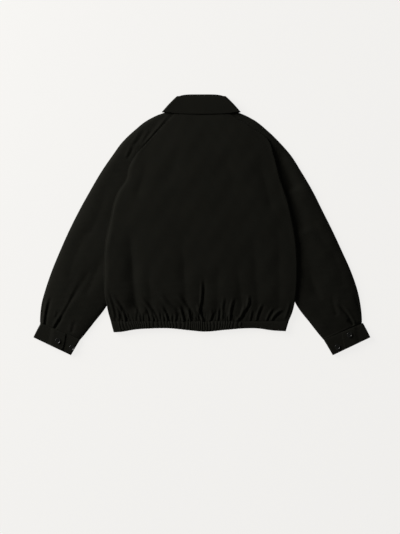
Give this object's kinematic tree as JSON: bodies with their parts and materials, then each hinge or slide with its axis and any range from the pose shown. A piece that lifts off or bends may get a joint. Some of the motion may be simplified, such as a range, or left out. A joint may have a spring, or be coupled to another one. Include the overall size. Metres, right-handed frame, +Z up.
{
  "type": "harrington jacket",
  "caption": "Zip-front harrington jacket with raglan sleeves, fold-over collar and gathered hem band, laid flat face down with its back upwards.",
  "frame": {"origin": "centre of the laid jacket's box, on the surface it lies on", "axes": "+Z up out of the jacket's back, +Y towards the collar, +X towards the wearer's right sleeve"},
  "size_m": [0.9394, 0.7258, 0.024],
  "materials": {
    "shell_cloth": "matte, closely woven twill",
    "zip_tape": "matte, woven tape",
    "zip_metal": "satin, antiqued",
    "buttons": "gloss"
  },
  "bodies": {
    "jacket": {"back": "shell_cloth", "front_left": "shell_cloth", "front_right": "shell_cloth", "sleeve_left": "shell_cloth", "sleeve_right": "shell_cloth", "cuff_left": "shell_cloth", "cuff_right": "shell_cloth", "collar": "shell_cloth", "hem_back": "shell_cloth", "hem_left": "shell_cloth", "hem_right": "shell_cloth", "zip_left": "zip_tape", "zip_right": "zip_tape", "zip_slider": "zip_metal", "cuff_button_left_1": "buttons", "cuff_button_left_2": "buttons", "cuff_button_right_1": "buttons", "cuff_button_right_2": "buttons"},
    "pull_tab": {"zip_pull_tab": "zip_metal"}
  },
  "joints": [
    {"name": "pull_tab_hinge", "type": "hinge", "parent": "jacket", "child": "pull_tab", "pos_m": [0, 0.2565, 0.00185], "axis": [1, 0, 0], "range_deg": [0, 170]}
  ]
}
